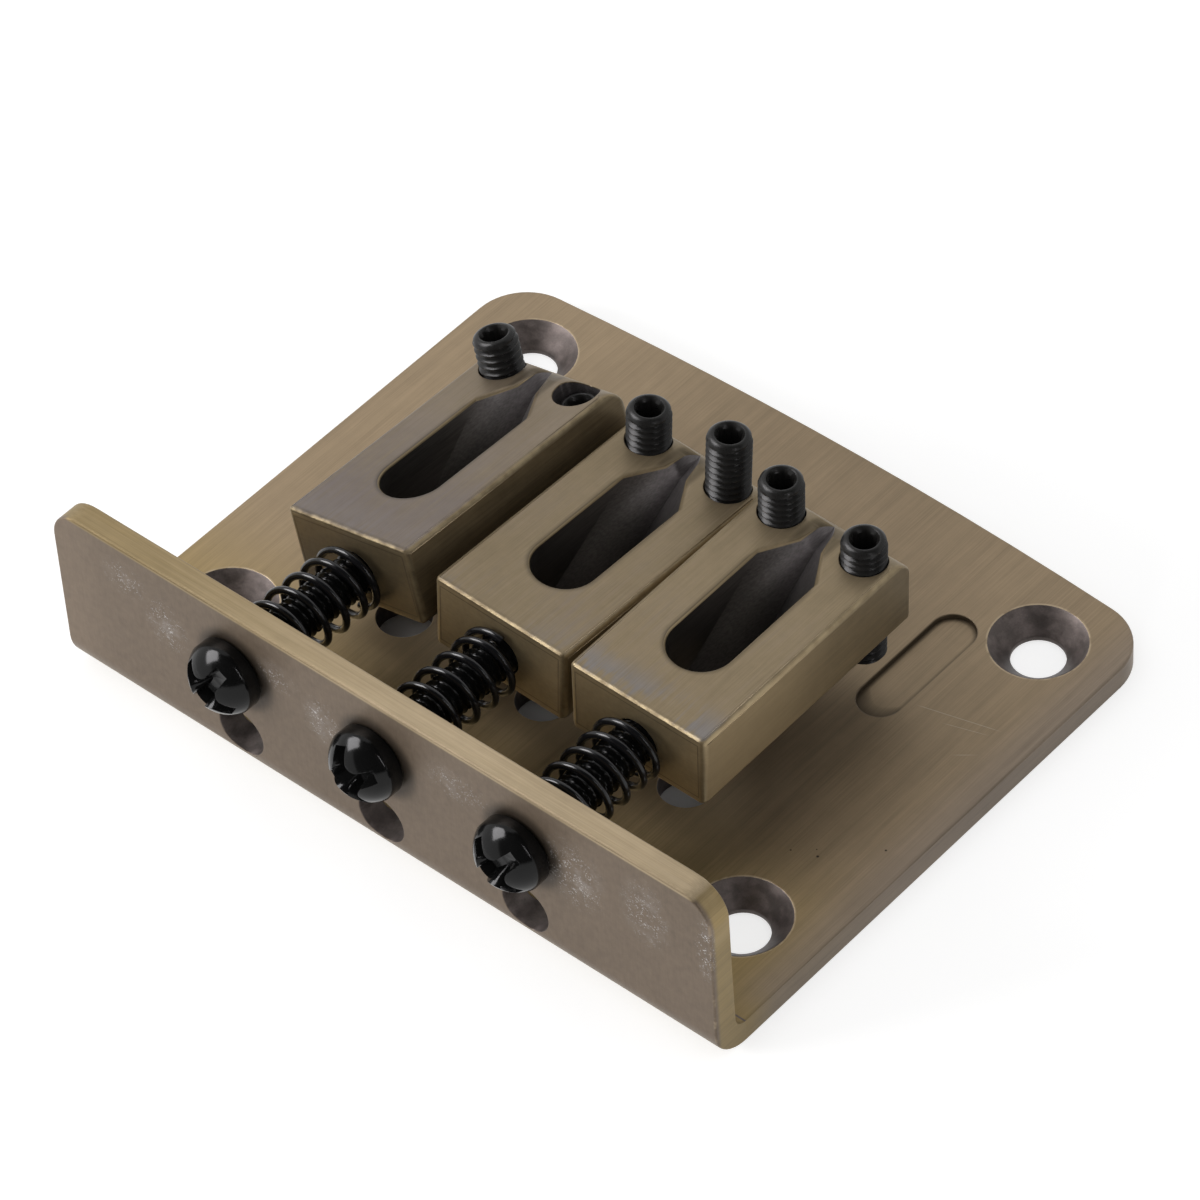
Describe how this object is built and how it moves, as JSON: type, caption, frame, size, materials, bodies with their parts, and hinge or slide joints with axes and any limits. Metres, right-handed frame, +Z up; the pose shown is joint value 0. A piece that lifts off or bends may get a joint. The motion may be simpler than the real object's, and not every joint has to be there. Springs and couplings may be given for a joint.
{
  "type": "electric guitar bridge",
  "caption": "Hardtail guitar bridge: bent brass plate with block saddles on sprung intonation screws and socket height screws, strings through body or lip.",
  "frame": {"origin": "centre of the four mounting holes, on the underside of the plate", "axes": "+X along the rear lip towards the treble side, +Y from the lip towards the neck, +Z up from the guitar body"},
  "size_m": [0.0524, 0.0456, 0.0156],
  "materials": {
    "plate_brass": "antique brushed brass",
    "saddle_brass": "antique brushed brass",
    "screw_black": "glossy black",
    "set_screw_black": "satin black oxide",
    "spring_wire": "glossy black wire"
  },
  "bodies": {
    "bridge_plate": {"base_plate": "plate_brass"},
    "bass_spring": {"intonation_spring_bass": "spring_wire"},
    "bass_screw": {"intonation_screw_bass": "screw_black"},
    "bass_saddle": {"saddle_bass": "saddle_brass"},
    "bass_height_left": {"height_screw_bass_left": "set_screw_black"},
    "bass_height_right": {"height_screw_bass_right": "set_screw_black"},
    "middle_spring": {"intonation_spring_middle": "spring_wire"},
    "middle_screw": {"intonation_screw_middle": "screw_black"},
    "middle_saddle": {"saddle_middle": "saddle_brass"},
    "middle_height_left": {"height_screw_middle_left": "set_screw_black"},
    "middle_height_right": {"height_screw_middle_right": "set_screw_black"},
    "treble_spring": {"intonation_spring_treble": "spring_wire"},
    "treble_screw": {"intonation_screw_treble": "screw_black"},
    "treble_saddle": {"saddle_treble": "saddle_brass"},
    "treble_height_left": {"height_screw_treble_left": "set_screw_black"},
    "treble_height_right": {"height_screw_treble_right": "set_screw_black"}
  },
  "joints": [
    {"name": "bass_height_tilt", "type": "hinge", "parent": "bridge_plate", "child": "bass_spring", "pos_m": [-0.0115, -0.02295, 0.0092], "axis": [0.9999, -0.0131, 0], "range_deg": [0, 3.6]},
    {"name": "bass_screw_turn", "type": "hinge", "parent": "bass_spring", "child": "bass_screw", "pos_m": [-0.0115, -0.02295, 0.0092], "axis": [0.0131, 0.9993, -0.034], "range_deg": [-1804, 2884]},
    {"name": "bass_intonation_slide", "type": "slide", "parent": "bass_spring", "child": "bass_saddle", "axis": [0.0131, 0.9993, -0.034], "range_m": [-0.004, 0.0025], "deforming": ["intonation_spring_bass"]},
    {"name": "bass_left_height", "type": "slide", "parent": "bass_saddle", "child": "bass_height_left", "axis": [-0.2313, 0.0361, 0.9722], "range_m": [-0.00115, 0.002]},
    {"name": "bass_right_height", "type": "slide", "parent": "bass_saddle", "child": "bass_height_right", "axis": [-0.2313, 0.0361, 0.9722], "range_m": [0, 0.003]},
    {"name": "middle_height_tilt", "type": "hinge", "parent": "bridge_plate", "child": "middle_spring", "pos_m": [0, -0.02295, 0.0092], "axis": [1, 0, 0], "range_deg": [-0.05, 5.15]},
    {"name": "middle_screw_turn", "type": "hinge", "parent": "middle_spring", "child": "middle_screw", "pos_m": [0, -0.02295, 0.0092], "axis": [0, 0.999, -0.0445], "range_deg": [-1804, 2884]},
    {"name": "middle_intonation_slide", "type": "slide", "parent": "middle_spring", "child": "middle_saddle", "axis": [0, 0.999, -0.0445], "range_m": [-0.004, 0.0025], "deforming": ["intonation_spring_middle"]},
    {"name": "middle_left_height", "type": "slide", "parent": "middle_saddle", "child": "middle_height_left", "axis": [0.0332, 0.0445, 0.9985], "range_m": [-0.0019, 0.002]},
    {"name": "middle_right_height", "type": "slide", "parent": "middle_saddle", "child": "middle_height_right", "axis": [0.0332, 0.0445, 0.9985], "range_m": [-0.0035, 0.002]},
    {"name": "treble_height_tilt", "type": "hinge", "parent": "bridge_plate", "child": "treble_spring", "pos_m": [0.0115, -0.02295, 0.0092], "axis": [1, 0.0096, 0], "range_deg": [-2.45, 2.75]},
    {"name": "treble_screw_turn", "type": "hinge", "parent": "treble_spring", "child": "treble_screw", "pos_m": [0.0115, -0.02295, 0.0092], "axis": [-0.0096, 1, -0.0026], "range_deg": [-1804, 2884]},
    {"name": "treble_intonation_slide", "type": "slide", "parent": "treble_spring", "child": "treble_saddle", "axis": [-0.0096, 1, -0.0026], "range_m": [-0.004, 0.0025], "deforming": ["intonation_spring_treble"]},
    {"name": "treble_left_height", "type": "slide", "parent": "treble_saddle", "child": "treble_height_left", "axis": [0.0296, 0.0029, 0.9996], "range_m": [-0.002, 0.002]},
    {"name": "treble_right_height", "type": "slide", "parent": "treble_saddle", "child": "treble_height_right", "axis": [0.0296, 0.0029, 0.9996], "range_m": [-0.00085, 0.002]}
  ],
  "couplings": [
    {"joint": "bass_screw_turn", "follows": "bass_intonation_slide", "rad_per_m": -12566},
    {"joint": "middle_screw_turn", "follows": "middle_intonation_slide", "rad_per_m": -12566},
    {"joint": "treble_screw_turn", "follows": "treble_intonation_slide", "rad_per_m": -12566}
  ]
}
